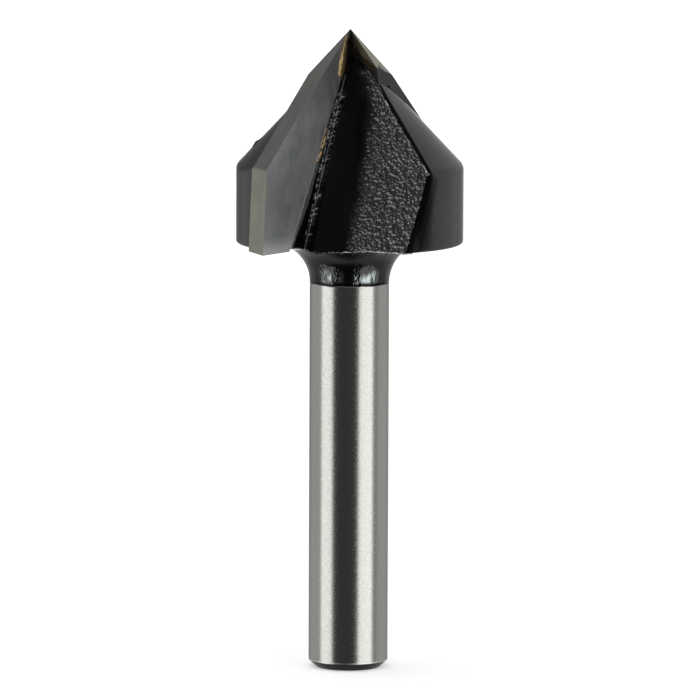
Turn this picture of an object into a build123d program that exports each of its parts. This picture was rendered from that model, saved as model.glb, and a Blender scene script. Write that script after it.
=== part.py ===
from build123d import *
import os
from math import cos, radians, sin, tan

os.makedirs("parts", exist_ok=True)

# A two wing V groove router bit: a steel body with a round shank, two brazed carbide cutters.
# Origin at the centre of the shank's flat end, +Z along the axis of rotation to the point.
# The cutting edges lie along X, one on +X and its twin half a turn round on -X.
# Millimetres and degrees. The bit cuts turning counter-clockwise as seen from its point.

# Shank and neck
shank_diameter = 6.35
shank_length = 31.1
shank_chamfer = 0.58
neck_radius = 3.18

# Head, a turned cone on a short cylindrical band, both a little inside the cutting edges
edge_standout = 1.45
band_setback = 0.32
head_cone_half_angle = 43.5
head_corner_radius = 0.9
head_rim_radius = 0.25

# Point and cutting edges
cutting_diameter = 21.1
straight_height = 6.57
point_half_angle = 45.0
cutter_thickness = 2.7
cutter_axial_tilt = 2.8
cutter_overhang = 0.2
cutter_inner_lean = 24.2
cutter_inner_start = 1.75
edge_relief_angle = 28.5
land_relief_angle = 33.0
tip_facet_back_slope = 50.0
tip_facet_side_slope = 18.4
nose_depth = 1.5
nose_back_slope = 31.0
nose_side_lean = 7.6
nose_side_splay = 16.2

# Flutes
flute_lean = 18.4
flute_splay = 5.7
flute_axis_offset = 0.85
flute_root_radius = 0.35
web_depth = 4.6
bridge_thickness = 0.3
bridge_depth = 3.6

# Braze seams
braze_gap = 0.14
braze_depth = 0.6
bead_height = 0.07
bead_width = 0.3
bead_start = 7.9
bead_end = 10.2
pool_start = 0.55
pool_end = 3.8
pool_rise = 2.7
pool_width = 0.9
pool_top_offset = 0.09
pool_offset = 0.35

# Derived places
shank_radius = shank_diameter / 2
cutting_radius = cutting_diameter / 2
edge_depth = cutting_radius / tan(radians(point_half_angle))
head_radius = cutting_radius - edge_standout
head_bottom = shank_length + neck_radius
head_corner = head_bottom + straight_height - band_setback
head_apex = head_corner + head_radius / tan(radians(head_cone_half_angle))
overall_length = head_bottom + straight_height + edge_depth
cutter_foot = head_bottom - cutter_overhang
cutter_depth = overall_length - cutter_foot + cutter_thickness
reach = 3 * overall_length
closeness = 0.001

# The rake plane holds the point and the cutting edge. Its local x runs outward,
# its local y runs down the axis from the point and its local z faces the flute.
rake = Plane(
    origin=(0, 0, overall_length),
    x_dir=(1, 0, 0),
    z_dir=(0, cos(radians(cutter_axial_tilt)), -sin(radians(cutter_axial_tilt))),
)


def half_space(point, normal):
    """Solid on the normal's side of a plane, both given in the rake plane's own x, y, z."""
    origin = rake.from_local_coords(Vector(*point))
    outward = rake.from_local_coords(Vector(*normal)) - rake.from_local_coords(Vector(0, 0, 0))
    face = Plane(origin=origin, z_dir=outward) * Rectangle(reach, reach)
    return extrude(face, reach)


def half_turn(shape):
    """The twin of a shape on the other wing, half a turn round the axis."""
    return Rot(0, 0, 180) * shape


def blank():
    """Turned blank: shank with a chamfered end, flared neck, band and cone."""
    shoulder = shank_radius + neck_radius
    flare = ThreePointArc(
        (shank_radius, 0, shank_length),
        (shoulder - neck_radius * cos(radians(45)), 0, shank_length + neck_radius * sin(radians(45))),
        (shoulder, 0, head_bottom),
    )
    rim = head_radius - head_rim_radius
    rim_arc = ThreePointArc(
        (rim, 0, head_bottom),
        (rim + head_rim_radius * sin(radians(45)), 0, head_bottom + head_rim_radius * (1 - cos(radians(45)))),
        (head_radius, 0, head_bottom + head_rim_radius),
    )
    # The rounded corner touches the band and the cone, which meet at the cone's half angle
    turn = radians(head_cone_half_angle)
    setback = head_corner_radius * tan(turn / 2)
    centre_x = head_radius - head_corner_radius
    centre_z = head_corner - setback
    corner_arc = ThreePointArc(
        (head_radius, 0, centre_z),
        (centre_x + head_corner_radius * cos(turn / 2), 0, centre_z + head_corner_radius * sin(turn / 2)),
        (centre_x + head_corner_radius * cos(turn), 0, centre_z + head_corner_radius * sin(turn)),
    )
    outline = [
        Line((0, 0, 0), (shank_radius - shank_chamfer, 0, 0)),
        Line((shank_radius - shank_chamfer, 0, 0), (shank_radius, 0, shank_chamfer)),
        Line((shank_radius, 0, shank_chamfer), (shank_radius, 0, shank_length)),
        flare,
        Line(flare @ 1, rim_arc @ 0),
        rim_arc,
        Line(rim_arc @ 1, corner_arc @ 0),
        corner_arc,
        Line(corner_arc @ 1, (0, 0, head_apex)),
        Line((0, 0, head_apex), (0, 0, 0)),
    ]
    return revolve(make_face(Wire(outline)), Axis.Z)


def relief_cuts():
    """What is ground off behind one cutting edge: edge relief, land relief and tip facet."""
    half = radians(point_half_angle)
    back = radians(edge_relief_angle)
    edge_normal = (cos(half) * cos(back), -sin(half) * cos(back), -sin(back))
    land = radians(land_relief_angle)
    land_normal = (cos(land), 0, -sin(land))
    facet_normal = (tan(radians(tip_facet_side_slope)), -1, -tan(radians(tip_facet_back_slope)))
    return [
        half_space((0, 0, 0), edge_normal),
        half_space((cutting_radius, 0, 0), land_normal),
        half_space((0, 0, 0), facet_normal),
    ]


def flute():
    """Open notch in front of one cutter: the rake plane and a leaning wall with a round root."""
    lean = tan(radians(flute_lean))
    splay = tan(radians(flute_splay))
    notch = half_space((0, 0, 0), (0, 0, 1)) & half_space((-flute_axis_offset, 0, 0), (1, -lean, splay))

    def on_root(edge):
        ends = [rake.to_local_coords(edge @ t) for t in (0, 1)]
        return all(abs(p.Z) + abs(p.X + flute_axis_offset - lean * p.Y) < closeness for p in ends)

    notch = fillet(notch.edges().filter_by(on_root), flute_root_radius)
    return notch & half_turn(outside_nose())


def outside_nose():
    """Half space inward of the ground side of a cutter's nose."""
    lean = tan(radians(nose_side_lean))
    splay = tan(radians(nose_side_splay))
    return half_space((0, 0, 0), (-1, lean, splay))


def below_nose():
    """Half space under the nose, where the steel of the web backs the cutters."""
    return half_space((0, nose_depth, 0), (0, 1, tan(radians(nose_back_slope))))


def inside(offset):
    """Half space inward of the cutter's brazed side, by an offset."""
    lean = radians(cutter_inner_lean)
    start = cutter_inner_start + offset / sin(lean)
    return half_space((0, start, 0), (-1, tan(lean), 0))


def inner_side(depth):
    """Distance from the axis of the cutter's brazed side at a depth below the point."""
    return (depth - cutter_inner_start) * tan(radians(cutter_inner_lean))


def slab(points, low, high):
    """Prism over an outline on the rake plane, from one level to another."""
    return extrude(rake * Pos(0, 0, low) * make_face(Polyline(*points, close=True)), high - low)


def above_foot(shape):
    """A shape cut off square at the height of the cutters' lower ends."""
    floor = Plane(origin=(0, 0, cutter_foot)) * Rectangle(reach, reach)
    return shape & extrude(floor, reach)


def cutter():
    """Carbide plate, ground to the point, the edge and the outer land."""
    outline = [
        (0, 0),
        (cutting_radius, edge_depth),
        (cutting_radius, cutter_depth),
        (-cutter_thickness, cutter_depth),
        (-cutter_thickness, 0),
    ]
    plate = slab(outline, -cutter_thickness, 0) - outside_nose() - (inside(0) & below_nose())
    for cut in relief_cuts():
        plate = plate - cut
    return above_foot(plate)


def web():
    """Steel between the two cutters near the point."""
    half_width = web_depth * tan(radians(point_half_angle))
    outline = [(0, 0), (half_width, web_depth), (-half_width, web_depth)]
    core = slab(outline, -cutter_thickness, 2 * cutter_thickness)
    core = core & half_turn(core)
    for cut in relief_cuts():
        core = core - cut - half_turn(cut)
    return core


def bridge():
    """Thin steel left standing between the noses of the two cutters, ground with them to the point."""
    block = Pos(0, 0, overall_length - bridge_depth / 2) * Box(bridge_depth, bridge_thickness, bridge_depth)
    block = block & outside_nose() & half_turn(outside_nose())
    for cut in relief_cuts():
        block = block - cut - half_turn(cut)
    return block


def braze(stock):
    """Filler along the cutter's brazed side, with a pool at the point and one bead lower down."""
    seam = (inside(0) - inside(braze_gap)) & below_nose()
    front = half_space((0, 0, -braze_depth), (0, 0, 1)) - half_space((0, 0, 0), (0, 0, 1))
    pool = slab(
        [
            (pool_top_offset, pool_start),
            (pool_offset + pool_width, pool_rise),
            (pool_offset + pool_width, pool_end),
            (pool_offset, pool_rise),
        ],
        0,
        bead_height,
    )
    bead = slab(
        [
            (inner_side(bead_start), bead_start),
            (inner_side(bead_end), bead_end),
            (inner_side(bead_end) - bead_width, bead_end),
            (inner_side(bead_start) - bead_width, bead_start),
        ],
        0,
        bead_height,
    )
    return above_foot(seam & front & stock) + pool + bead


stock = blank() + web()
notch = flute()
plate = cutter()
filler = braze(stock)
body = stock - notch - half_turn(notch) + bridge()
for piece in (plate, filler):
    body = body - piece - half_turn(piece)
filler = filler - body

nodes = {
    "body": body,
    "cutter_1": plate,
    "cutter_2": half_turn(plate),
    "braze_1": filler,
    "braze_2": half_turn(filler),
}
for name, shape in nodes.items():
    export_step(shape, f"parts/{name}.step")
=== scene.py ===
import math

import bmesh
import bpy
import numpy as np
from mathutils import Matrix, Vector


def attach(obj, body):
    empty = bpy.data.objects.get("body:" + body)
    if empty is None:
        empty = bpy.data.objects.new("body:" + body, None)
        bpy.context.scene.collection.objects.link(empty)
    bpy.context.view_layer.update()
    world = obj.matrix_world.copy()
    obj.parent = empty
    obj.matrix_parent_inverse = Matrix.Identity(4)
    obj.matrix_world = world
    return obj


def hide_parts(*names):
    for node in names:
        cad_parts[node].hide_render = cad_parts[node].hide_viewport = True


# V groove router bit. Lengths are millimetres in the part's own frame, unless a line
# turns them into metres: Z runs from the shank's flat end to the point, and the cutting
# edges lie along X.

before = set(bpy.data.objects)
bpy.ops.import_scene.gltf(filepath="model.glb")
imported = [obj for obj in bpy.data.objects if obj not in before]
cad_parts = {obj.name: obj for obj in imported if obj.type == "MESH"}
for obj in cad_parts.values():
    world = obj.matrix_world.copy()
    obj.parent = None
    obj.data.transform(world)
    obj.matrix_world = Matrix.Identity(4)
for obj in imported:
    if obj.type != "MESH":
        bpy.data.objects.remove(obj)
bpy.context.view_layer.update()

MM = 0.001

# Sizes shared with the CAD. Each lean and splay is a slope.
TIP = 51.4
SHANK_RADIUS = 3.175
SHANK_LENGTH = 31.1
SHANK_CHAMFER = 0.58
NECK_RADIUS = 3.18
HEAD_RADIUS = 9.1
HEAD_BOTTOM = 34.28
HEAD_CORNER = 40.53
CONE_HALF_ANGLE = math.radians(43.5)
CORNER_RADIUS = 0.9
RIM_RADIUS = 0.25
TILT = math.radians(2.8)
WALL_LEAN = math.tan(math.radians(18.4))
WALL_SPLAY = math.tan(math.radians(5.7))
WALL_OFFSET = 0.85
ROOT_RADIUS = 0.35
PLATE_LEAN = math.tan(math.radians(24.2))
PLATE_START = 1.75
PLATE_THICKNESS = 2.7
NOSE_LEAN = math.tan(math.radians(7.6))
NOSE_SPLAY = math.tan(math.radians(16.2))
BRAZE_GAP = 0.14

# In a level slice the flute wall is the line x + WALL_TURN * y = wall_at(z)
WALL_TURN = WALL_LEAN * math.sin(TILT) + WALL_SPLAY * math.cos(TILT)
WALL_RISE = WALL_LEAN * math.cos(TILT) - WALL_SPLAY * math.sin(TILT)
WALL_LENGTH = math.hypot(1.0, WALL_TURN)

# How far the fine surfaces stand proud of the CAD's, and where they end under the point
FINISH = 0.015
FLUTE_TOP = 49.0

# Rows drawn down at a flute's foot, and its columns from the braze to the turned form
FOOT_ROWS = 9
STRIP_COLUMNS = 21
ROOT_COLUMNS = 8
WALL_COLUMNS = 150
HEEL_COLUMNS = 9
PAST_COLUMNS = 7
BEFORE_WALL = STRIP_COLUMNS + ROOT_COLUMNS
AFTER_WALL = HEEL_COLUMNS + PAST_COLUMNS

# Heights of the marks on a flute, and how far the sharp heel under it is drawn in
GRAIN_HEIGHT = 0.034
RIDGE_HEIGHT = 0.075
BURR_HEIGHT = 0.04
CHIP_DEPTH = 0.03
HEEL_SETBACK = 0.35


# Mesh helpers

def unit(v):
    """Each row of vectors divided by its own length."""
    return v / np.maximum(np.linalg.norm(v, axis=-1, keepdims=True), 1e-12)


def wing_turn(points, wing):
    """Wing 1 as it is, wing 2 turned half round the axis: x and y change sign."""
    return points if wing == 1 else points * np.array([-1.0, -1.0, 1.0])


def spread(x, y, z):
    """Points from their x, y and z, of any shapes that fit each other."""
    return np.stack(np.broadcast_arrays(x, y, z), axis=-1)


def side_by_side(*parts):
    """Blocks of columns joined into one, in their order."""
    return np.concatenate(parts, axis=1)


def grid_piece(name, points, attributes=None, close_columns=False):
    """A sheet from an array of rows by columns by 3, one quad between each four neighbours.

    The last column joins the first where close_columns is set."""
    rows, columns = points.shape[:2]
    index = np.arange(rows * columns).reshape(rows, columns)
    if close_columns:
        index = np.concatenate([index, index[:, :1]], axis=1)
    corners = [index[:-1, :-1], index[:-1, 1:], index[1:, 1:], index[1:, :-1]]
    quads = np.stack(corners, axis=-1).reshape(-1, 4)
    mesh = bpy.data.meshes.new(name)
    mesh.vertices.add(rows * columns)
    mesh.vertices.foreach_set("co", (points.reshape(-1, 3) * MM).astype(np.float32).ravel())
    mesh.loops.add(len(quads) * 4)
    mesh.loops.foreach_set("vertex_index", quads.astype(np.int32).ravel())
    mesh.polygons.add(len(quads))
    mesh.polygons.foreach_set("loop_start", np.arange(0, len(quads) * 4, 4, dtype=np.int32))
    mesh.update(calc_edges=True)
    mesh.shade_smooth()
    for key, values in (attributes or {}).items():
        layer = mesh.attributes.new(key, "FLOAT", "POINT")
        layer.data.foreach_set("value", np.asarray(values, np.float32).ravel())
    piece = bpy.data.objects.new(name, mesh)
    bpy.context.scene.collection.objects.link(piece)
    return piece


def finish_piece(piece, material):
    """Gives a piece its finish and its place on the one body."""
    piece.data.materials.append(material)
    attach(piece, "root")
    return piece


def smooth_step(low, high, x):
    """0 below low, 1 above high, and 3 t squared minus 2 t cubed between them."""
    t = np.clip((x - low) / (high - low), 0.0, 1.0)
    return t * t * (3.0 - 2.0 * t)


def value_noise(u, v, size, seed):
    """Random heights on a square lattice of that size, joined smoothly, from -1 to 1."""
    rng = np.random.default_rng(seed)
    table = rng.uniform(-1.0, 1.0, (257, 257))
    gu, gv = u / size + 500.0, v / size + 500.0
    iu, iv = np.floor(gu).astype(int), np.floor(gv).astype(int)
    fu, fv = gu - iu, gv - iv
    fu = fu * fu * (3.0 - 2.0 * fu)
    fv = fv * fv * (3.0 - 2.0 * fv)
    a = table[iu % 256, iv % 256]
    b = table[(iu + 1) % 256, iv % 256]
    c = table[iu % 256, (iv + 1) % 256]
    d = table[(iu + 1) % 256, (iv + 1) % 256]
    return (a * (1 - fu) + b * fu) * (1 - fv) + (c * (1 - fu) + d * fu) * fv


def cast_grain(u, v, seed):
    """Pebbled cast skin: three noises of their own sizes, turned so that no lattice shows."""
    u2, v2 = 0.8 * u - 0.6 * v, 0.6 * u + 0.8 * v
    coarse = value_noise(u, v, 0.15, seed)
    middle = value_noise(u2, v2, 0.115, seed + 1)
    broad = value_noise(v2, u, 0.36, seed + 2)
    return 0.55 * coarse + 0.55 * middle + 0.3 * broad


# The turned form

def turned_radius(z):
    """Radius of the turned blank at height z: shank, neck arc, rim, band, corner arc and cone."""
    z = np.asarray(z, float)
    cone_apex = HEAD_CORNER + HEAD_RADIUS / math.tan(CONE_HALF_ANGLE)
    cone = (cone_apex - z) * math.tan(CONE_HALF_ANGLE)
    setback = CORNER_RADIUS * math.tan(CONE_HALF_ANGLE / 2)
    centre_z = HEAD_CORNER - setback
    drop = np.clip(z - centre_z, 0.0, CORNER_RADIUS)
    corner = HEAD_RADIUS - CORNER_RADIUS + np.sqrt(CORNER_RADIUS ** 2 - drop ** 2)
    corner_top = centre_z + CORNER_RADIUS * math.sin(CONE_HALF_ANGLE)
    rise = np.clip(HEAD_BOTTOM + RIM_RADIUS - z, 0.0, RIM_RADIUS)
    rim = HEAD_RADIUS - RIM_RADIUS + np.sqrt(RIM_RADIUS ** 2 - rise ** 2)
    up = np.clip(z - SHANK_LENGTH, 0.0, NECK_RADIUS)
    neck = SHANK_RADIUS + NECK_RADIUS - np.sqrt(NECK_RADIUS ** 2 - up ** 2)
    lower = np.where(z < HEAD_BOTTOM + RIM_RADIUS, rim, HEAD_RADIUS)
    upper = np.where(z < corner_top, corner, cone)
    return np.where(z < HEAD_BOTTOM, neck, np.where(z < centre_z, lower, upper))


def profile_normals(radius, height):
    """Outward unit normals of a turned profile given as radius and height along it."""
    dr = np.gradient(radius)
    dz = np.gradient(height)
    length = np.maximum(np.hypot(dr, dz), 1e-9)
    return dz / length, -dr / length


def wall_at(z):
    """Where the flute wall crosses y = 0 at height z."""
    return -WALL_OFFSET + WALL_RISE * (TIP - z)


def root_at(z):
    """Where the flute wall's line and the rake plane meet at height z, as x and y."""
    y = -(TIP - z) * math.tan(TILT)
    return wall_at(z) - WALL_TURN * y, y


def wall_crossing(radius, foot):
    """Where a line along the wall, passing the axis at a distance foot, leaves a circle.

    Also how far that is along the line, counted from its point nearest the axis: the root of
    radius squared minus foot squared."""
    along = np.sqrt(np.maximum(radius ** 2 - foot ** 2, 0.0))
    x = foot / WALL_LENGTH - along * WALL_TURN / WALL_LENGTH
    y = foot * WALL_TURN / WALL_LENGTH + along / WALL_LENGTH
    return x, y, along


def heel_round(z):
    """Radius of the worn heel: full along the wing, fading where the wing runs into the point."""
    least, gain = 0.03, 0.19
    return least + gain * (1 - smooth_step(45.8, 46.9, z))


def heel_centre(radius, z):
    """Centre of the arc that rounds the heel, as far inside the wall's line as inside the circle.

    Also how far along the wall the arc begins."""
    inside = heel_round(z)
    return wall_crossing(radius - inside, wall_at(z) / WALL_LENGTH - inside)


def heel_shade(past, z):
    """How dark the turned form is past the heel: a thin band on the cone, a wide one below it."""
    far = np.interp(z, [34.3, 39.9, 40.6], [2.2, 1.3, 0.40])
    return smooth_step(0.02, 0.06, past) * (1 - smooth_step(0.26, far, past))


def rake_crossing(radius, z):
    """Angle at which the rake plane of the +X cutter leaves a circle of the turned form."""
    return -np.arcsin(np.clip((TIP - z) * math.tan(TILT) / radius, -1.0, 1.0))


# Shank and neck

def shank_profile():
    """Radius and height along the shank's end, chamfer, straight length and the neck's arc."""
    edge, neck_top = 0.06, 33.86
    soft = edge * math.tan(math.pi / 8)
    low_turn = np.linspace(0.0, math.pi / 4, 5)
    low_r = SHANK_RADIUS - SHANK_CHAMFER - soft + edge * np.sin(low_turn)
    low_z = edge - edge * np.cos(low_turn)
    high_turn = np.linspace(math.pi / 4, math.pi / 2, 5)
    high_r = SHANK_RADIUS - edge + edge * np.sin(high_turn)
    high_z = SHANK_CHAMFER + soft - edge * np.cos(high_turn)
    straight_z = np.linspace(SHANK_CHAMFER + soft, SHANK_LENGTH, 60)[1:]
    straight_r = np.full(len(straight_z), SHANK_RADIUS)
    neck_turn = np.linspace(0.0, math.asin((neck_top - SHANK_LENGTH) / NECK_RADIUS), 40)[1:]
    neck_z = SHANK_LENGTH + NECK_RADIUS * np.sin(neck_turn)
    end_r = np.array([0.0, 0.5, 1.3, 2.0])
    radius = np.concatenate([end_r, low_r, high_r, straight_r, turned_radius(neck_z)])
    height = np.concatenate([0 * end_r, low_z, high_z, straight_z, neck_z])
    return radius, height


def shank_and_neck():
    """The turned profile carried once round the axis: x = r cos a, y = r sin a."""
    radius, height = shank_profile()
    normal_r, normal_z = profile_normals(radius, height)
    around = np.linspace(0.0, 2 * math.pi, 257)[:-1]
    lowest = -0.004
    r = (radius + FINISH * normal_r)[:, None]
    z = np.maximum(height + FINISH * normal_z, lowest)[:, None]
    r[0] = 0.0
    points = spread(r * np.cos(around), r * np.sin(around), z)
    return grid_piece("shank_and_neck", points, close_columns=True)


# One wing's flute, rounded heel and turned face

def flute_rows():
    """Heights of the flute's rows from the head's underside to under the point.

    The first rows repeat the lowest one, and draw_foot() draws them down to the neck."""
    fine_top = HEAD_BOTTOM + 0.24
    foot = np.full(FOOT_ROWS, HEAD_BOTTOM)
    fine = np.linspace(HEAD_BOTTOM, fine_top, 13)[:-1]
    return np.concatenate([foot, fine, np.linspace(fine_top, FLUTE_TOP, 285)])


def run_out(points, down):
    """How far each column of the lowest row goes on down before it leaves the flared neck.

    The drop d is the first at which the row's radius, moved along down, equals the neck's."""
    longest = 0.6
    drop = np.linspace(0.0, longest, 121)[:, None]
    low = points[None, :] + down[None, :] * drop[..., None]
    gap = turned_radius(HEAD_BOTTOM - 0.001 - drop) - np.hypot(low[..., 0], low[..., 1])
    return np.where(gap < 0.0, drop, 9.0).min(axis=0).clip(0.0, longest)


def flute_path(z):
    """The open side of a wing as a path in each level slice, with its outward normals.

    The path runs in along the rake plane, round the root's arc, out along the leaning wall,
    round the worn heel and a little way on over the turned form. Four distances come with it:
    out along the wall from the root, back from the heel, out over the rake plane from the
    root, and in from the braze. Where one has no meaning it is far."""
    far = 9.0
    rows = len(z)
    radius = turned_radius(z)
    along = np.array([-WALL_TURN, 1.0]) / WALL_LENGTH
    out_wall = unit(np.array([1.0, WALL_TURN, WALL_RISE]))
    out_rake = np.array([0.0, math.cos(TILT), -math.sin(TILT)])
    root_x, root_y = root_at(z)
    half = math.acos(-WALL_TURN / WALL_LENGTH) / 2
    tangent = ROOT_RADIUS / math.tan(half)

    # the strip of the rake plane between the braze and the root
    depth = (TIP - z) / math.cos(TILT)
    plate_x = (depth - PLATE_START) * PLATE_LEAN - BRAZE_GAP * math.hypot(1.0, PLATE_LEAN)
    rim_x = np.sqrt(np.maximum(radius ** 2 - root_y ** 2, 0.0))
    strip_out = np.maximum(np.minimum(plate_x, rim_x), root_x + tangent + 0.01)
    t = np.linspace(0.0, 1.0, STRIP_COLUMNS + 1)[None, :-1]
    strip_x = strip_out + (root_x + tangent - strip_out) * t
    strip = spread(strip_x, root_y, z)
    strip_n = np.broadcast_to(out_rake, strip.shape)

    # the root's arc
    wall_angle = math.atan(WALL_TURN)
    turn = np.linspace(-math.pi / 2, -math.pi + wall_angle, ROOT_COLUMNS + 1)[None, :-1]
    toward = np.array([1.0, 0.0]) + along
    toward = toward / np.linalg.norm(toward) * ROOT_RADIUS / math.sin(half)
    arc_x = root_x + toward[0] + ROOT_RADIUS * np.cos(turn)
    arc_y = root_y + toward[1] + ROOT_RADIUS * np.sin(turn)
    arc = spread(arc_x, arc_y, z)
    share = np.linspace(0.0, 1.0, ROOT_COLUMNS + 1)[None, :-1, None]
    arc_n = unit(np.broadcast_to(out_rake * (1 - share) + out_wall * share, arc.shape))

    # the leaning wall
    centre_x, centre_y, centre_along = heel_centre(radius, z)
    reach = centre_along - (root_x * along[0] + root_y * along[1])
    reach = np.maximum(reach, tangent + 0.001)
    go = tangent + (reach - tangent) * np.linspace(0.0, 1.0, WALL_COLUMNS)[None, :]
    wall = spread(root_x + along[0] * go, root_y + along[1] * go, z)
    wall_n = np.broadcast_to(out_wall, wall.shape)

    # the heel's round, its normals turned from the wall's to the turned form's
    angle = np.arctan2(centre_y, centre_x)
    dr = (turned_radius(z + 0.02) - turned_radius(z - 0.02)) / 0.04
    dr = np.where(z < HEAD_BOTTOM + 0.02, 0.0, dr)
    slope = np.hypot(1.0, dr)
    out_turned = spread(np.cos(angle) / slope, np.sin(angle) / slope, -dr / slope)
    share = np.linspace(0.0, 1.0, HEEL_COLUMNS + 1)[None, 1:]
    turn = wall_angle + (angle - wall_angle) * share
    rounding = heel_round(z)
    heel = spread(centre_x + rounding * np.cos(turn), centre_y + rounding * np.sin(turn), z)
    heel_n = unit(out_wall * (1 - share[..., None]) + out_turned * share[..., None])
    heel_arc = rounding * np.abs(turn - wall_angle)

    # a little of the turned form past the heel
    beyond = np.linspace(0.0, 0.7, PAST_COLUMNS + 1)[None, 1:]
    past = angle + beyond / radius
    over = spread(radius * np.cos(past), radius * np.sin(past), z)
    over_n = spread(np.cos(past) / slope, np.sin(past) / slope, -dr / slope)

    points = side_by_side(strip, arc, wall, heel, over)
    normals = side_by_side(strip_n, arc_n, wall_n, heel_n, over_n)
    past_wall = np.repeat(reach - tangent, AFTER_WALL, axis=1)
    along_wall = side_by_side(np.zeros((rows, BEFORE_WALL)), go - tangent, past_wall)
    before = np.full((rows, BEFORE_WALL), far)
    to_heel = side_by_side(before, reach - go, -heel_arc, -heel_arc[:, -1:] - beyond)
    on_root, after = np.zeros((rows, ROOT_COLUMNS)), np.full((rows, AFTER_WALL), -far)
    from_root = side_by_side(strip_x - root_x - tangent, on_root, tangent - go, after)
    rest = np.full((rows, points.shape[1] - STRIP_COLUMNS), far)
    past_plate = side_by_side(strip_out - strip_x, rest)
    return points, normals, along_wall, to_heel, from_root, past_plate


def draw_foot(points, across, seed):
    """Draws the lowest rows down to the neck, or to a thin wavy edge under the head.

    They follow the rake plane's slant on the strip and the wall's slant beyond the root.
    Gives how far each point then lies above that edge."""
    on_wall = np.ones(points.shape[1])
    on_wall[:STRIP_COLUMNS] = 0.0
    on_wall[STRIP_COLUMNS:BEFORE_WALL] = np.linspace(0.0, 1.0, ROOT_COLUMNS)
    down = spread(WALL_RISE * on_wall, -math.tan(TILT) * (1 - on_wall), -1.0)
    drop = run_out(points[FOOT_ROWS], down)
    places = [0.0, 1.0, 2.0, 3.1, 4.0, 5.3, 6.8, 9.5]
    wave = 0.03 * value_noise(across, 0 * across, 0.5, seed + 21)
    wave = wave + np.interp(across, places, [0.0, 0.08, 0.14, 0.08, 0.02, 0.06, 0.10, 0.10])
    drop = np.maximum(drop + wave * on_wall, 0.012)
    left = np.linspace(1.0, 0.0, FOOT_ROWS, endpoint=False)[:, None]
    points[:FOOT_ROWS] = points[FOOT_ROWS] + down * (drop * left)[..., None]
    rest = drop + points[FOOT_ROWS:, :, 2] - HEAD_BOTTOM
    return np.concatenate([drop * (1 - left), rest], axis=0)


def flute_sheet(wing):
    """A wing's flute: its path carried up the axis, with its cast grain, wear and flux.

    Height over the path = finish + grain on the wall + ragged lip along the heel + ridge
    along the root's near edge + burr at the foot - chip at the head's corner."""
    z = flute_rows()[:, None]
    points, normals, along_wall, to_heel, from_root, past_plate = flute_path(z)
    high = np.repeat(z, points.shape[1], axis=1)
    across = along_wall - from_root
    seed = 40 * wing
    above_edge = draw_foot(points, across[0], seed)

    # cast grain on the wall, beyond the smooth root
    start = np.interp(high, [34.3, 40.7, 45.5, 47.2, 48.2], [2.8, 2.7, 1.8, 0.9, 0.2])
    start = start + 0.35 * value_noise(high, along_wall, 1.1, seed + 5)
    rough = smooth_step(-0.1, 1.5, along_wall - start)
    rough = rough * (1 - smooth_step(47.9, 48.5, high)) * smooth_step(-0.04, 0.03, to_heel)
    on_wall = (to_heel > -0.5) * (from_root < 0.0)
    grain = cast_grain(along_wall, high, seed) * rough * on_wall
    grain = grain * smooth_step(-0.05, 0.15, to_heel)

    # the heel's ragged lip, and a chip at the head's corner
    ragged = value_noise(high, 0 * high, 0.33, seed + 7)
    ragged = ragged + 0.8 * value_noise(high, 0 * high + 9, 0.15, seed + 8)
    near_heel = np.exp(-((to_heel - 0.02) / 0.07) ** 2) * (1 - smooth_step(46.6, 47.0, high))
    lip = near_heel * (0.012 + 0.017 * ragged)
    chip = np.exp(-((high - 40.45) / 0.14) ** 2 - (to_heel / 0.2) ** 2)

    # the ridge of flux and coating along the root's near edge
    heights = [34.3, 38.5, 41.0, 47.5]
    width = np.interp(high, heights, [0.04, 0.07, 0.22, 0.30])
    centre = np.interp(high, heights, [0.02, 0.05, 0.14, 0.20])
    centre = centre + 0.07 * value_noise(high, 0 * high, 0.5, seed + 11)
    bell = np.exp(-((from_root - centre) / width) ** 2)
    knobs = 0.75 + 1.5 * cast_grain(from_root, high, seed + 12)
    ridge = bell * np.clip(knobs, 0.0, 2.2)
    ridge = ridge * smooth_step(34.4, 35.0, high) * (1 - smooth_step(46.2, 47.0, high))

    # the rake face's grinding, which runs on a little over the steel beside the plate
    heights = [33.6, 36.1, 38.1, 40.7, 42.5]
    ground_width = np.interp(high, heights, [0.0, 0.34, 0.50, 0.34, 0.0])
    ground_width = ground_width + 0.03 * value_noise(high, 0 * high, 0.8, seed + 17) - 0.04
    ground = smooth_step(-0.03, 0.03, ground_width - past_plate)

    # the burr along the edge under the head
    burr = np.exp(-((above_edge - 0.06) / 0.035) ** 2)
    burr = burr * (0.75 + 0.5 * value_noise(across, 0 * high, 0.35, seed + 15))

    height = FINISH + GRAIN_HEIGHT * grain + lip + RIDGE_HEIGHT * ridge
    height = height + BURR_HEIGHT * burr - CHIP_DEPTH * chip
    points = points + normals * height[..., None]
    worn = 0.8 * near_heel * smooth_step(0.35, 1.1, ragged) + chip + 0.8 * burr
    return grid_piece(f"flute_{wing}", wing_turn(points, wing), {
        "rough": rough * on_wall,
        "worn": np.clip(worn, 0, 1),
        "ridge": np.clip(ridge, 0, 1),
        "turned": smooth_step(0.34, 0.50, -to_heel),
        "shade": heel_shade(-to_heel, high),
        "ground": ground,
    })


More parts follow.
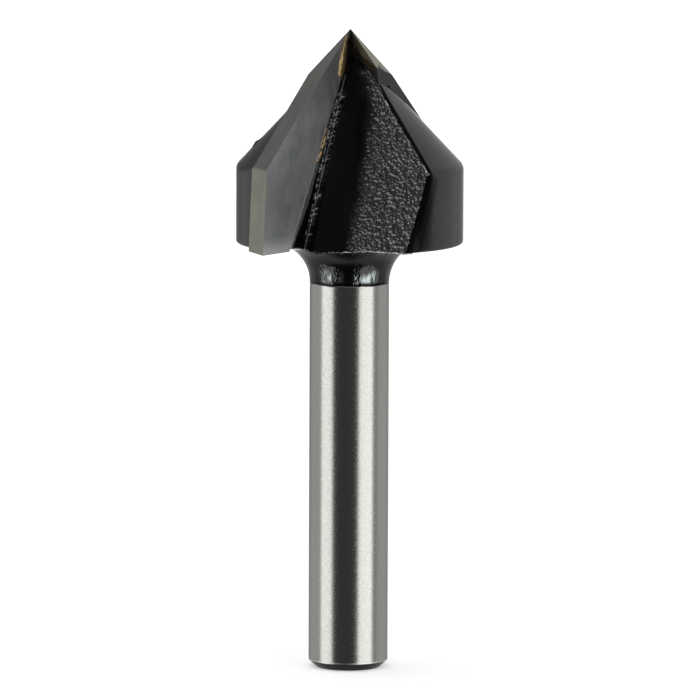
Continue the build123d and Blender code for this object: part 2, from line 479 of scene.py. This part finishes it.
def wing_profile():
    """Radius and height up the head: neck's top, underside, rim, band, corner and cone."""
    neck_start = 33.78
    neck_z = np.linspace(neck_start, HEAD_BOTTOM - 0.001, 12)
    under_r = np.linspace(SHANK_RADIUS + NECK_RADIUS, HEAD_RADIUS - RIM_RADIUS, 14)[1:]
    rim_turn = np.linspace(0.0, math.pi / 2, 8)[1:]
    rim_r = HEAD_RADIUS - RIM_RADIUS + RIM_RADIUS * np.sin(rim_turn)
    rim_z = HEAD_BOTTOM + RIM_RADIUS - RIM_RADIUS * np.cos(rim_turn)
    setback = CORNER_RADIUS * math.tan(CONE_HALF_ANGLE / 2)
    band_z = np.linspace(HEAD_BOTTOM + RIM_RADIUS, HEAD_CORNER - setback, 26)[1:]
    corner_turn = np.linspace(0.0, CONE_HALF_ANGLE, 10)[1:]
    corner_r = HEAD_RADIUS - CORNER_RADIUS + CORNER_RADIUS * np.cos(corner_turn)
    corner_z = HEAD_CORNER - setback + CORNER_RADIUS * np.sin(corner_turn)
    cone_z = np.linspace(corner_z[-1], FLUTE_TOP + 0.3, 40)[1:]
    neck_r, band_r, cone_r = turned_radius(neck_z), turned_radius(band_z), turned_radius(cone_z)
    under_z = np.full(len(under_r), HEAD_BOTTOM)
    radius = np.concatenate([neck_r, under_r, rim_r, band_r, corner_r, cone_r])
    height = np.concatenate([neck_z, under_z, rim_z, band_z, corner_z, cone_z])
    return radius, height


def wing_face(wing):
    """The turned face of a wing: each circle of the profile, from the heel to the next rake plane.

    Where a circle doesn't reach the flute's root, it is closed and starts at the root's angle.
    Wing 1 carries one small bead of coating on its cone."""
    radius, height = wing_profile()
    normal_r, normal_z = profile_normals(radius, height)
    heel_x, heel_y, _ = wall_crossing(radius, wall_at(height) / WALL_LENGTH)
    centre_x, centre_y, _ = heel_centre(radius, height)
    rounded = np.arctan2(centre_y, centre_x)
    root_x, root_y = root_at(height)
    open_here = radius > np.hypot(root_x, root_y)
    root_angle = np.arctan2(root_y, root_x)
    first = np.where(open_here, np.arctan2(heel_y, heel_x), root_angle)
    first = np.where(height > HEAD_BOTTOM + 0.02, rounded + 0.6 / radius, first)
    last = math.pi + np.where(open_here, rake_crossing(radius, height), root_angle)
    under_plate = (radius > 7.0) | (height > HEAD_BOTTOM + 0.01)
    last = last - np.where(under_plate, 0.3 / radius, 0.0)
    t = np.linspace(0.0, 1.0, 121)[None, :]
    around = first[:, None] + (last - first)[:, None] * t
    radius, height, rounded = radius[:, None], height[:, None], rounded[:, None]
    skin = FINISH
    if wing == 1:
        bead_angle, bead_height, bead_rise = math.radians(129), 42.25, 0.17
        aside = (around - bead_angle) * radius / 0.34
        above = (height - bead_height) / 0.26
        skin = FINISH + bead_rise * np.exp(-aside ** 2 - above ** 2)
    r = radius + skin * normal_r[:, None]
    z = height + skin * normal_z[:, None]
    zeros = np.zeros(around.shape)
    return grid_piece(
        f"wing_{wing}",
        wing_turn(spread(r * np.cos(around), r * np.sin(around), z), wing),
        {
            "rough": zeros,
            "worn": zeros,
            "ridge": zeros,
            "turned": zeros + 1.0,
            "shade": heel_shade((around - rounded) * radius, height + 0 * around),
            "ground": zeros,
        },
    )


def inner_core():
    """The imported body's faces in one closed mesh, its sharp heels drawn in under the rounded ones.

    Points nearer each other than join, in metres, are made one first. A heel point lies on
    the wall's line and on the turned form at once. It moves in by HEEL_SETBACK, halfway
    between the wall's normal and the circle's."""
    join, near, heel_top = 1e-7, 0.03, 46.9
    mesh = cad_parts["body"].data.copy()
    mesh.name = "core"
    mesh.materials.clear()
    core = bpy.data.objects.new("core", mesh)
    bpy.context.scene.collection.objects.link(core)
    work = bmesh.new()
    work.from_mesh(mesh)
    bmesh.ops.remove_doubles(work, verts=work.verts, dist=join)
    work.to_mesh(mesh)
    work.free()
    co = np.zeros(len(mesh.vertices) * 3, np.float32)
    mesh.vertices.foreach_get("co", co)
    p = co.reshape(-1, 3).astype(float) / MM
    z = p[:, 2]
    r = np.hypot(p[:, 0], p[:, 1])
    on_turned = np.abs(r - turned_radius(z)) < near
    for side in (1.0, -1.0):
        x, y = side * p[:, 0], side * p[:, 1]
        on_wall = np.abs(x + WALL_TURN * y - wall_at(z)) < near
        on_wing = (y > 0.5) & (z > HEAD_BOTTOM - 0.01) & (z < heel_top)
        heel = on_wall & on_turned & on_wing
        safe_r = np.maximum(r, 1e-9)
        inward = unit(-np.stack([x / safe_r + 1.0, y / safe_r], axis=-1))
        p[heel, :2] += HEEL_SETBACK * side * inward[heel]
    mesh.vertices.foreach_set("co", (p * MM).astype(np.float32).ravel())
    if "custom_normal" in mesh.attributes:
        mesh.attributes.remove(mesh.attributes["custom_normal"])
    mesh.shade_flat()
    mesh.update()
    return core


def gold_run(name, wing, depths, inner, outer, height, seed):
    """A run of filler on the rake plane, its two sides given as distances out at some depths.

    It bulges across by the root of one minus t squared, t running from -1 to 1 between the
    sides, dies away at both ends and is lumpy all along."""
    sunk = 0.01
    depth = np.linspace(depths[0], depths[-1], 70)[:, None]
    share = (depth - depths[0]) / (depths[-1] - depths[0])
    t = np.linspace(-1.0, 1.0, 19)[None, :]
    near, far = np.interp(depth, depths, inner), np.interp(depth, depths, outer)
    x = (near + far) / 2 + (far - near) / 2 * t + 0.015 * value_noise(depth, 0 * depth, 0.4, seed)
    ends = np.sqrt(np.clip(1 - (2 * share - 1) ** 4, 0, 1))
    lumps = 1 + 0.25 * value_noise(depth, x, 0.35, seed + 1)
    lumps = lumps + 0.15 * value_noise(depth, x, 0.16, seed + 2)
    rise = height * np.sqrt(1 - t ** 2) * ends * lumps - sunk
    y = -depth * math.sin(TILT) + rise * math.cos(TILT)
    z = TIP - depth * math.cos(TILT) - rise * math.sin(TILT)
    return grid_piece(name, wing_turn(spread(x, y, z), wing))


# Finishes

class Nodes:
    """Short calls for building a node tree."""

    def __init__(self, tree):
        self.tree = tree
        tree.nodes.clear()

    def add(self, kind, operation=None):
        """A new shader node of a kind."""
        node = self.tree.nodes.new("ShaderNode" + kind)
        if operation:
            node.operation = operation
        return node

    def link(self, source, target):
        """Joins an output, or sets a plain value, to an input."""
        if isinstance(source, bpy.types.NodeSocket):
            self.tree.links.new(source, target)
        else:
            target.default_value = source

    def math(self, operation, a, b=0.0):
        """One operation on one or two numbers."""
        node = self.add("Math", operation)
        self.link(a, node.inputs[0])
        self.link(b, node.inputs[1])
        return node.outputs[0]

    def times(self, first, *others):
        """Product of numbers."""
        for other in others:
            first = self.math("MULTIPLY", first, other)
        return first

    def dot(self, vector, direction):
        """Dot product of two vectors."""
        node = self.add("VectorMath", "DOT_PRODUCT")
        self.link(vector, node.inputs[0])
        self.link(direction, node.inputs[1])
        return node.outputs["Value"]

    def ramp(self, value, low, high, to_low=0.0, to_high=1.0, kind="SMOOTHSTEP"):
        """Value carried from low..high to to_low..to_high and held at both ends.

        It eases in and out, or goes straight where kind is LINEAR."""
        node = self.add("MapRange")
        node.interpolation_type = kind
        self.link(value, node.inputs["Value"])
        self.link(low, node.inputs["From Min"])
        self.link(high, node.inputs["From Max"])
        self.link(to_low, node.inputs["To Min"])
        self.link(to_high, node.inputs["To Max"])
        return node.outputs[0]

    def mix(self, share, first, second):
        """Colour between two colours."""
        node = self.add("Mix")
        node.data_type = "RGBA"
        self.link(share, node.inputs[0])
        self.link(first, node.inputs[6])
        self.link(second, node.inputs[7])
        return node.outputs[2]

    def blend(self, share, first, second):
        """Number between two numbers."""
        node = self.add("Mix")
        self.link(share, node.inputs[0])
        self.link(first, node.inputs[2])
        self.link(second, node.inputs[3])
        return node.outputs[0]


class Finish(Nodes):
    """A material with one shader, placed by Object coordinates and the piece's attributes."""

    def __init__(self, name):
        self.material = bpy.data.materials.new(name)
        self.material.use_nodes = True
        super().__init__(self.material.node_tree)
        output = self.add("OutputMaterial")
        self.shader = self.add("BsdfPrincipled")
        self.link(self.shader.outputs[0], output.inputs[0])
        self.place = self.add("TexCoord").outputs["Object"]

    def feed(self, socket, value):
        """Gives one of the shader's inputs its value."""
        self.link(value, self.shader.inputs[socket])

    def attribute(self, name):
        """The piece's own attribute of that name."""
        node = self.add("Attribute")
        node.attribute_name = name
        return node.outputs["Fac"]

    def mapped(self, scale=(1, 1, 1), turn=(0, 0, 0), shift=(0, 0, 0)):
        """Object coordinates scaled, turned and shifted."""
        node = self.add("Mapping")
        node.inputs["Scale"].default_value = scale
        node.inputs["Rotation"].default_value = turn
        node.inputs["Location"].default_value = shift
        self.link(self.place, node.inputs["Vector"])
        return node.outputs[0]

    def noise(self, vector, scale, detail=2.0, roughness=0.5):
        """Noise from 0 to 1, its scale in cells to the metre."""
        node = self.add("TexNoise")
        node.inputs["Scale"].default_value = scale
        node.inputs["Detail"].default_value = detail
        node.inputs["Roughness"].default_value = roughness
        self.link(vector, node.inputs["Vector"])
        return node.outputs["Fac"]

    def bump(self, height, strength, distance, under=None):
        """Normal bent by a height, its distance in metres, over another bent normal if given."""
        node = self.add("Bump")
        self.link(strength, node.inputs["Strength"])
        node.inputs["Distance"].default_value = distance
        self.link(height, node.inputs["Height"])
        if under is not None:
            self.link(under, node.inputs["Normal"])
        return node.outputs[0]

    def height(self):
        """Height above the shank's end."""
        return self.dot(self.place, (0, 0, 1 / MM))

    def off_rake(self, side):
        """Distance in front of a rake plane: wing 1's for side 1, wing 2's for side -1."""
        y, z = side * math.cos(TILT) / MM, -math.sin(TILT) / MM
        return self.math("ADD", self.dot(self.place, (0, y, z)), TIP * math.sin(TILT))

    def near(self, distance):
        """1 where a distance is under 0.02 either way, 0 beyond 0.05."""
        return self.ramp(self.math("ABSOLUTE", distance), 0.05, 0.02)

    def facing(self, azimuth, near, far):
        """1 within near degrees of an azimuth round the axis, or of its half turn, and 0 beyond far."""
        level = self.add("VectorMath", "MULTIPLY")
        self.link(self.place, level.inputs[0])
        level.inputs[1].default_value = (1.0, 1.0, 0.0)
        out = self.add("VectorMath", "NORMALIZE")
        self.link(level.outputs[0], out.inputs[0])
        turn = math.radians(azimuth)
        along = self.dot(out.outputs[0], (math.cos(turn), math.sin(turn), 0.0))
        low, high = math.cos(math.radians(far)), math.cos(math.radians(near))
        return self.ramp(self.math("ABSOLUTE", along), low, high)


def grey(value, warm=0.0):
    """A near grey colour, a little warmer where warm is above 0."""
    return (value * (1 + warm), value, value * (1 - warm), 1.0)


# Colours of the plates' and the web's back faces, and of both cutters' edge relief
BACK_FACE = (0.105, 0.105, 0.101, 1.0)
EDGE_RELIEF = (0.32, 0.32, 0.305, 1.0)


def steel_to_coat(name):
    """Bare ground shank, and black coating above a slightly ragged line at the neck."""
    n = Finish(name)
    height = n.height()
    satin = n.noise(n.place, 6500.0, 2.0, 0.6)
    grains = n.ramp(satin, 0.3, 0.7)
    wobble = n.noise(n.place, 900.0, 3.0)

    # the line where the coating begins
    line = n.math("ADD", height, n.times(n.math("SUBTRACT", wobble, 0.5), 0.22))
    coat = n.ramp(line, 31.02, 31.10)

    # bare steel, faintly clouded
    pale, dark, cloud = (0.597, 0.605, 0.562, 1), (0.478, 0.484, 0.452, 1), (0.495, 0.500, 0.468, 1)
    metal = n.mix(n.times(grains, 0.4), pale, dark)
    patches = n.noise(n.mapped((1, 1, 0.4)), 160.0, 2.0)
    metal = n.mix(n.ramp(patches, 0.45, 0.75, 0.0, 0.25), metal, cloud)

    # the chamfer, nearly black as painted shade, under a ragged bright rim that is a painted highlight
    rim = n.math("ADD", height, n.times(wobble, 0.12))
    metal = n.mix(n.ramp(rim, 0.62, 0.66), grey(0.045), metal)
    ragged = n.times(n.ramp(rim, 0.63, 0.66), n.ramp(rim, 0.74, 0.70))
    metal = n.mix(ragged, metal, grey(0.92))

    # the coating, darkest along its edge, with painted highlights at two places round the neck: a
    # thinner, more reflecting coat placed only where the soft boxes' highlights fall
    paint = n.mix(n.ramp(wobble, 0.4, 0.7), grey(0.050), grey(0.062))
    paint = n.mix(n.ramp(line, 31.32, 31.16), paint, grey(0.010))
    streaks = n.noise(n.mapped((1, 1, 0.35)), 1300.0, 2.0, 0.6)
    places = n.math("MAXIMUM", n.facing(188.0, 12.0, 24.0), n.times(n.facing(240.0, 11.0, 23.0), 0.75))
    thin = n.times(n.ramp(height, 32.55, 31.7), n.ramp(line, 31.22, 31.46))
    thin = n.times(thin, n.ramp(streaks, 0.42, 0.62, 0.06, 1.0), places)
    paint = n.mix(thin, paint, (0.60, 0.68, 0.66, 1))
    n.feed("Base Color", n.mix(coat, metal, paint))
    n.feed("Metallic", 1.0)

    steel_rough = n.blend(ragged, n.blend(grains, 0.20, 0.275), 0.45)
    paint_rough = n.blend(n.ramp(n.noise(n.place, 500.0, 2.0), 0.35, 0.65), 0.10, 0.20)
    n.feed("Roughness", n.blend(coat, steel_rough, paint_rough))

    # fine rings from grinding, and the coating's peel
    rings = n.noise(n.mapped((60, 60, 9000)), 1.0, 3.0, 0.6)
    fine = n.bump(n.blend(0.35, rings, satin), 0.12, 0.000004)
    waves = n.times(coat, n.ramp(height, 33.2, 32.2, 0.25, 1.0))
    peel = n.times(n.noise(n.mapped((1, 1, 0.45)), 1000.0, 3.0, 0.6), waves)
    n.feed("Normal", n.bump(peel, 0.9, 0.0002, fine))
    return n.material


def black_coat(name):
    """Glossy black coating: smooth on turned faces, grainy in the flutes, worn bright at the lips.

    The strip that was ground along with the rake face is bare, lapped steel."""
    n = Finish(name)
    rough, ridge, ground = n.attribute("rough"), n.attribute("ridge"), n.attribute("ground")
    turned, shade = n.attribute("turned"), n.attribute("shade")
    worn = n.ramp(n.attribute("worn"), 0.25, 0.8)
    bare = n.ramp(ground, 0.2, 0.5)
    fine = n.noise(n.place, 5200.0, 3.0, 0.6)
    cloud = n.noise(n.place, 260.0, 3.0)
    colour = n.mix(n.ramp(cloud, 0.35, 0.7), grey(0.0025), grey(0.005, 0.02))
    colour = n.mix(rough, colour, grey(0.007))
    colour = n.mix(worn, colour, grey(0.75))
    lapped = n.mix(n.ramp(fine, 0.35, 0.65), (0.60, 0.62, 0.63, 1), (0.85, 0.86, 0.86, 1))
    edge = n.times(n.ramp(ground, 0.15, 0.4), n.ramp(ground, 0.98, 0.7))
    lapped = n.mix(edge, lapped, grey(0.95))
    n.feed("Base Color", n.mix(bare, colour, lapped))
    n.feed("Metallic", n.math("MAXIMUM", worn, bare))

    grainy = n.math("MAXIMUM", rough, ridge)
    # reflection strength: weaker on the smooth flute walls than on the turned faces, painted shade in
    # the flutes; stronger up the cone toward the point, a painted sheen; nearly none just past each
    # heel, painted shade
    plain = n.blend(turned, 1.36, n.blend(n.ramp(n.height(), 42.0, 46.5), 1.84, 2.2))
    plain = n.blend(shade, plain, 1.08)
    n.feed("IOR", n.blend(grainy, plain, 2.45))
    n.feed("Specular Tint", n.mix(turned, (0.96, 0.98, 1.0, 1), (1.0, 1.0, 0.93, 1)))
    smooth = n.blend(n.ramp(fine, 0.3, 0.7), 0.09, 0.14)
    n.feed("Roughness", n.blend(ground, n.blend(grainy, smooth, 0.25), 0.40))

    pits = n.times(fine, n.math("ADD", n.times(rough, 0.8), 0.10))
    peel = n.bump(n.noise(n.place, 800.0, 2.0), 0.12, 0.0001)
    peel = n.bump(n.noise(n.place, 3200.0, 2.0), n.blend(turned, 0.0, 0.35), 0.00003, peel)
    n.feed("Normal", n.bump(pits, 0.5, 0.00002, peel))
    return n.material


def point_steel(name):
    """The body where no finer surface covers it: black coating, ground bare on the web's back faces.

    Those lie where the distance from the rake plane is the plates' thickness."""
    n = Finish(name)
    fine = n.noise(n.place, 3000.0, 3.0)
    cloud = n.noise(n.place, 260.0, 3.0)
    paint = n.mix(n.ramp(cloud, 0.35, 0.7), grey(0.004), grey(0.007))
    backs = [n.near(n.math("ADD", n.off_rake(side), PLATE_THICKNESS)) for side in (1, -1)]
    bare = n.times(n.math("MAXIMUM", *backs), n.ramp(n.height(), 46.6, 46.9))
    n.feed("Base Color", n.mix(bare, paint, BACK_FACE))
    n.feed("Metallic", bare)
    n.feed("IOR", 1.6)
    n.feed("Roughness", n.blend(bare, n.blend(n.ramp(fine, 0.3, 0.7), 0.14, 0.22), 0.55))
    n.feed("Normal", n.bump(fine, 0.2, 0.00002))
    return n.material


def ground_carbide(name, side, facet_light_and_shade):
    """Sintered carbide: a pale lapped rake face with cool patches, darker flanks, a warm land.

    Side is 1 for the cutter on +X and -1 for its twin. The facet colour near the point is painted light
    and shade: lighter for one cutter, darker for its twin."""
    n = Finish(name)
    height = n.height()
    off_rake = n.off_rake(side)
    on_rake = n.near(off_rake)
    patches = n.noise(n.place, 420.0, 3.0, 0.55)
    broad = n.noise(n.mapped((1, 1, 0.6), shift=(0.02, 0.01, 0.0)), 240.0, 2.0)
    grinding = n.mapped((9000, 9000, 260), turn=(0, math.radians(-24.0) * side, 0))
    lines = n.noise(grinding, 1.0, 2.0, 0.7)

    # the rake face: patches and grinding lines, darker toward the point
    face = n.mix(n.ramp(patches, 0.38, 0.62), (0.61, 0.61, 0.585, 1), (0.40, 0.42, 0.44, 1))
    face = n.mix(n.ramp(broad, 0.42, 0.66, 0.0, 0.75), face, (0.73, 0.73, 0.71, 1))
    face = n.mix(n.ramp(lines, 0.40, 0.75, 0.0, 0.35), face, grey(0.70))
    face = n.mix(n.ramp(height, 43.6, 48.4, 0.0, 0.85), face, (0.25, 0.255, 0.26, 1))

    # its bright and dull places, told by the distance out from the brazed side; the thin bright line
    # along that side is a painted highlight
    lean = math.atan(PLATE_LEAN)
    out_x = side * math.cos(lean) / MM
    out_y = side * math.sin(TILT) * math.sin(lean) / MM
    out_z = math.cos(TILT) * math.sin(lean) / MM
    start = (TIP * math.cos(TILT) - PLATE_START) * math.sin(lean)
    edge = n.math("SUBTRACT", n.dot(n.place, (out_x, out_y, out_z)), start)
    edge_highlight = n.times(n.ramp(edge, 0.02, 0.06), n.ramp(edge, 0.20, 0.10), n.ramp(height, 43.5, 41.0))
    face = n.mix(n.times(edge_highlight, 0.9), face, grey(0.95))
    streak = n.times(n.ramp(edge, 1.8, 0.1), n.ramp(lines, 0.50, 0.62), 0.65)
    face = n.mix(streak, face, grey(0.84))
    polish = n.times(n.ramp(edge, 2.2, 0.5), n.ramp(height, 46.2, 44.0))
    face = n.mix(n.times(polish, n.ramp(broad, 0.35, 0.6, 0.0, 0.25)), face, grey(0.85))
    lower = n.times(n.ramp(edge, 0.6, 1.8), n.ramp(height, 42.0, 38.5))
    lower = n.times(lower, n.ramp(broad, 0.35, 0.6, 0.1, 0.6))
    face = n.mix(lower, face, (0.37, 0.385, 0.40, 1))
    foot_shine = n.times(n.ramp(height, 35.6, 34.2), 0.6)
    face = n.mix(foot_shine, face, (0.95, 0.95, 0.93, 1))

    # the flanks: edge relief below the facet, which near the point takes its painted light and shade
    # colour, a darker nose and back, and the outer land
    out = n.dot(n.place, (side / MM, 0, 0))
    level = n.math("ADD", height, n.times(out, 0.35))
    flank = n.mix(n.ramp(level, 46.8, 48.2), EDGE_RELIEF, facet_light_and_shade)
    nose_y = NOSE_SPLAY * math.cos(TILT) - NOSE_LEAN * math.sin(TILT)
    nose_z = NOSE_LEAN * math.cos(TILT) + NOSE_SPLAY * math.sin(TILT)
    from_nose = n.dot(n.place, (-side / MM, side * nose_y / MM, -nose_z / MM))
    on_nose = n.near(n.math("ADD", from_nose, TIP * nose_z))
    flank = n.mix(n.times(on_nose, 0.5), flank, grey(0.05))
    on_back = n.near(n.math("ADD", off_rake, PLATE_THICKNESS))
    flank = n.mix(on_back, flank, BACK_FACE)
    flank = n.mix(n.ramp(patches, 0.36, 0.66, 0.0, 0.16), flank, grey(0.0))
    land = n.mix(n.ramp(patches, 0.36, 0.66), (0.52, 0.51, 0.42, 1), (0.45, 0.445, 0.375, 1))
    on_land = n.times(n.ramp(height, 40.9, 40.8), n.math("SUBTRACT", 1.0, on_rake))
    n.feed("Base Color", n.mix(on_rake, n.mix(on_land, flank, land), face))
    n.feed("Metallic", 1.0)
    n.feed("Roughness", n.blend(on_rake, n.blend(patches, 0.34, 0.46), n.blend(patches, 0.50, 0.62)))
    n.feed("Normal", n.bump(lines, 0.12, 0.00001))
    return n.material


def gold_braze(name):
    """Dull gold filler, lumpy, darker where flux has stained it."""
    n = Finish(name)
    lumps = n.noise(n.place, 1900.0, 3.0, 0.6)
    stain = n.noise(n.place, 800.0, 2.0)
    colour = n.mix(n.ramp(stain, 0.42, 0.62), (0.92, 0.69, 0.35, 1), (0.56, 0.41, 0.19, 1))
    colour = n.mix(n.ramp(n.height(), 48.6, 50.0), colour, (0.42, 0.32, 0.17, 1))
    n.feed("Base Color", colour)
    n.feed("Metallic", 1.0)
    n.feed("Roughness", n.blend(lumps, 0.42, 0.62))
    n.feed("Normal", n.bump(lumps, 0.6, 0.00006))
    return n.material


def seam_metal(name):
    """The thin seam beside a plate: a brown stain near the point, dull, and bright lower down as a
    painted highlight along the plate's edge.
    """
    n = Finish(name)
    height = n.height()
    speckle = n.noise(n.place, 2200.0, 3.0, 0.6)
    stain = n.mix(n.ramp(speckle, 0.35, 0.65), (0.030, 0.027, 0.018, 1), (0.070, 0.062, 0.042, 1))
    dull = n.mix(n.ramp(speckle, 0.40, 0.70), grey(0.05), grey(0.25))
    # painted highlight: the seam made bright lower down, where the plate's edge catches the light
    lapped = n.times(n.ramp(height, 42.0, 41.4), n.ramp(height, 33.9, 34.3))
    dull = n.mix(lapped, dull, grey(0.62))
    n.feed("Base Color", n.mix(n.ramp(height, 46.5, 47.5), dull, stain))
    n.feed("Metallic", 0.8)
    n.feed("Roughness", n.blend(speckle, 0.4, 0.6))
    n.feed("Normal", n.bump(speckle, 0.4, 0.00003))
    return n.material


# Stage, light and camera

VIEW_TURN = math.radians(54.44)
VIEW_DROP = math.radians(7.29)

# The darker patches of the room: azimuth, elevation, full within, gone beyond, share
DARK_PATCHES = [
    (-158.0, 15.0, 15.0, 35.0, 0.55),
    (83.0, -7.0, 3.0, 11.0, 0.5),
    (150.0, -7.0, 6.0, 16.0, 0.25),
]


def from_view(x, y, z):
    """A point of the view's frame, x right and y away from the camera, in the part's frame."""
    c, s = math.cos(VIEW_TURN), math.sin(VIEW_TURN)
    return Vector((c * x + s * y, -s * x + c * y, z))


def toward(azimuth, elevation):
    """Direction out from the part, in degrees right of the camera and above level."""
    a, e = math.radians(azimuth), math.radians(elevation)
    return from_view(math.sin(a) * math.cos(e), -math.cos(a) * math.cos(e), math.sin(e))


def cosine(degrees):
    """Cosine of an angle in degrees."""
    return math.cos(math.radians(degrees))


def pale_floor():
    """A plain floor that stays white in the picture and keeps the part's soft shadow."""
    span, level = 3.0 / MM, -0.012
    sides = np.array([-span, span])
    floor = grid_piece("floor", spread(sides[None, :], sides[:, None], level))
    n = Finish("floor_white")
    n.feed("Base Color", (0.86, 0.86, 0.86, 1))
    n.feed("Roughness", 0.9)
    n.feed("Specular IOR Level", 0.0)
    n.feed("Emission Color", (1, 1, 1, 1))
    away = n.add("VectorMath", "LENGTH")
    n.link(n.place, away.inputs[0])
    lift = n.ramp(away.outputs["Value"], 0.04, 0.5, 0.52, 1.0)
    seen = n.add("LightPath").outputs["Is Camera Ray"]
    n.feed("Emission Strength", n.times(seen, lift))
    floor.data.materials.append(n.material)
    floor.visible_glossy = False


def soft_box(name, azimuth, low, high, span, radiance):
    """A soft light of even brightness, aimed at the part's middle.

    Seen from there it fills low to high upward and span across, in degrees, and its middle
    stands at azimuth degrees right of the camera."""
    distance, middle = 0.7, Vector((0, 0, 0.030))
    tall = 2 * distance * math.tan(math.radians(high - low) / 2)
    wide = 2 * distance * math.tan(math.radians(span) / 2)
    lamp = bpy.data.lights.new(name, "AREA")
    lamp.shape = "RECTANGLE"
    lamp.size, lamp.size_y = wide, tall
    lamp.energy = radiance * math.pi * wide * tall
    light = bpy.data.objects.new(name, lamp)
    light.location = middle + distance * toward(azimuth, (low + high) / 2)
    light.rotation_euler = (middle - light.location).to_track_quat("-Z", "Y").to_euler()
    bpy.context.scene.collection.objects.link(light)


def surroundings():
    """Plain grey studio, dark on the camera's side, with a white backdrop where the camera looks.

    Metal shows that backdrop too, in the directions that it fills behind the part."""
    world = bpy.data.worlds.new("studio")
    bpy.context.scene.world = world
    world.use_nodes = True
    n = Nodes(world.node_tree)
    out = n.add("OutputWorld")
    back = n.add("Background")
    n.link(back.outputs[0], out.inputs[0])
    way = n.add("TexCoord").outputs["Generated"]
    strength = n.ramp(n.dot(way, toward(-9.0, 0.0)), 0.0, 0.45, 0.44, 0.045)
    for azimuth, elevation, within, beyond, share in DARK_PATCHES:
        beside = n.dot(way, toward(azimuth, elevation))
        kept = n.ramp(beside, cosine(beyond), cosine(within), 1.0, 1.0 - share)
        strength = n.times(strength, kept)
    path = n.add("LightPath")
    behind = n.dot(way, from_view(0.0, math.cos(VIEW_DROP), -math.sin(VIEW_DROP)))
    backdrop = n.ramp(behind, cosine(16.0), cosine(12.0), kind="LINEAR")
    mirrored = n.math("MAXIMUM", path.outputs["Is Glossy Ray"], path.outputs["Is Transmission Ray"])
    white = n.math("MAXIMUM", path.outputs["Is Camera Ray"], n.times(mirrored, backdrop))
    n.link(n.blend(white, strength, 1.0), back.inputs["Strength"])
    n.link((1, 1, 1, 1), back.inputs["Color"])


def photo_camera():
    """The camera at the photograph's place, angle and lens, with its small roll.

    The focal length and the picture's width are in pixels, the sensor in millimetres."""
    elevation, roll = math.radians(7.2923), math.radians(0.2293)
    distance, aim_x, aim_z = 572.14 * MM, 0.0652 * MM, 25.598 * MM
    focal, width, sensor = 7142.7, 700.0, 36.0
    target = from_view(aim_x, 0.0, aim_z)
    place = from_view(aim_x, -distance * math.cos(elevation), aim_z + distance * math.sin(elevation))
    back = (place - target).normalized()
    right = Vector((0, 0, 1)).cross(back).normalized()
    up = back.cross(right)
    turned_right = right * math.cos(roll) + up * math.sin(roll)
    turned_up = up * math.cos(roll) - right * math.sin(roll)
    data = bpy.data.cameras.new("camera")
    data.sensor_width = sensor
    data.lens = focal * sensor / width
    data.clip_start, data.clip_end = 0.05, 20.0
    camera = bpy.data.objects.new("camera", data)
    camera.matrix_world = Matrix((
        (turned_right.x, turned_up.x, back.x, place.x),
        (turned_right.y, turned_up.y, back.y, place.y),
        (turned_right.z, turned_up.z, back.z, place.z),
        (0, 0, 0, 1),
    ))
    bpy.context.scene.collection.objects.link(camera)
    bpy.context.scene.camera = camera


# Making

photo_camera()
pale_floor()
surroundings()
soft_box("left_soft_box", -67.2, -50, 18, 37.5, 1.37)
soft_box("right_soft_box", 50.4, -50, 24, 43.2, 1.45)
soft_box("top_soft_box", 120.0, 72, 124, 70, 1.25)

finish_piece(shank_and_neck(), steel_to_coat("ground_shank_and_coated_neck"))
coat = black_coat("black_coating")
for wing in (1, 2):
    finish_piece(flute_sheet(wing), coat)
    finish_piece(wing_face(wing), coat)

core = finish_piece(inner_core(), point_steel("steel_at_the_point"))
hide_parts("body")

# The gold runs: depths below the point, then how far out their two sides lie there
POOL = ([0.45, 1.55, 2.56, 3.46, 3.9], [0.33, 0.37, 0.38, 0.58, 0.82], [0.68, 1.06, 1.32, 1.42, 1.20])
BEAD = ([7.8, 10.4], [2.32, 3.42], [2.74, 3.88])
gold = gold_braze("gold_braze")
for wing in (1, 2):
    finish_piece(gold_run(f"pool_{wing}", wing, *POOL, 0.135, 60 + wing), gold)
    finish_piece(gold_run(f"bead_{wing}", wing, *BEAD, 0.11, 70 + wing), gold)

seam = seam_metal("plate_seam")
# the cutters' facet colours near the point: painted light on cutter_1, painted shade on cutter_2
finishes = {
    "cutter_1": ground_carbide("ground_carbide_1", 1, (0.56, 0.55, 0.46, 1)),
    "cutter_2": ground_carbide("ground_carbide_2", -1, (0.34, 0.34, 0.32, 1)),
    "braze_1": seam,
    "braze_2": seam,
}
for name, finish in finishes.items():
    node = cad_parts[name]
    node.data.materials.clear()
    node.data.materials.append(finish)

bpy.context.scene.view_settings.view_transform = "Standard"
